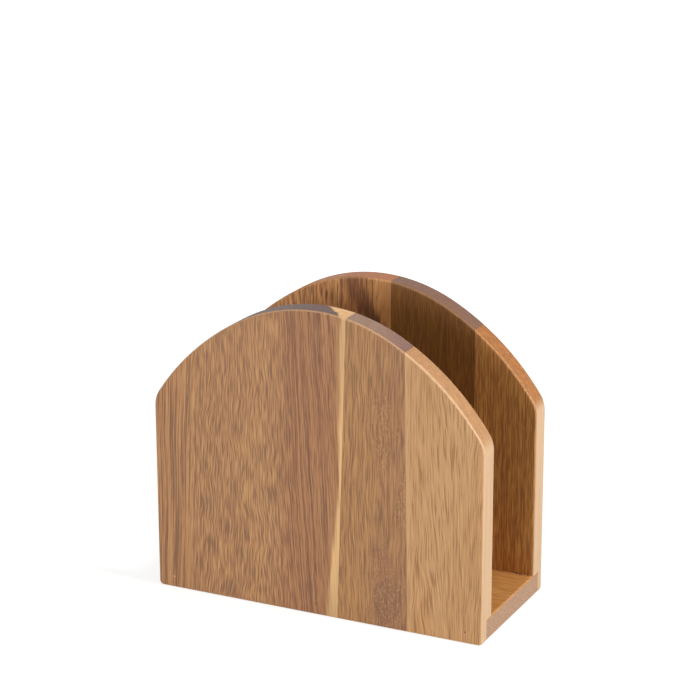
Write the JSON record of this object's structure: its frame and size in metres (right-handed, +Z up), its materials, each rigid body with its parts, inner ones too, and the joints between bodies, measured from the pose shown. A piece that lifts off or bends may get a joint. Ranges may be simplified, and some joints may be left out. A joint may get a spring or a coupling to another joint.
{
  "type": "napkin holder",
  "caption": "Free-standing upright napkin holder in acacia: two arch-topped panels of glued staves rebated onto a base board, open at the top and at both ends.",
  "frame": {"origin": "on the table, under the middle of the width and of the depth", "axes": "+X along the width, to the right as seen from the front; +Y from the front panel to the back panel; +Z up"},
  "size_m": [0.15, 0.065, 0.1315],
  "materials": {
    "acacia_tan": "oiled, satin",
    "acacia_mottled": "oiled, satin",
    "acacia_pale": "oiled, satin",
    "acacia_figured": "oiled, satin",
    "acacia_dark": "oiled, satin",
    "acacia_straight": "oiled, satin",
    "acacia_base": "oiled, satin",
    "pin_steel": "zinc-coated"
  },
  "bodies": {
    "root": {"front_stave_left": "acacia_tan", "front_stave_middle": "acacia_mottled", "front_stave_right": "acacia_pale", "back_stave_left": "acacia_figured", "back_stave_middle": "acacia_dark", "back_stave_right": "acacia_straight", "base_board": "acacia_base", "front_pins": "pin_steel", "back_pins": "pin_steel"}
  },
  "joints": []
}
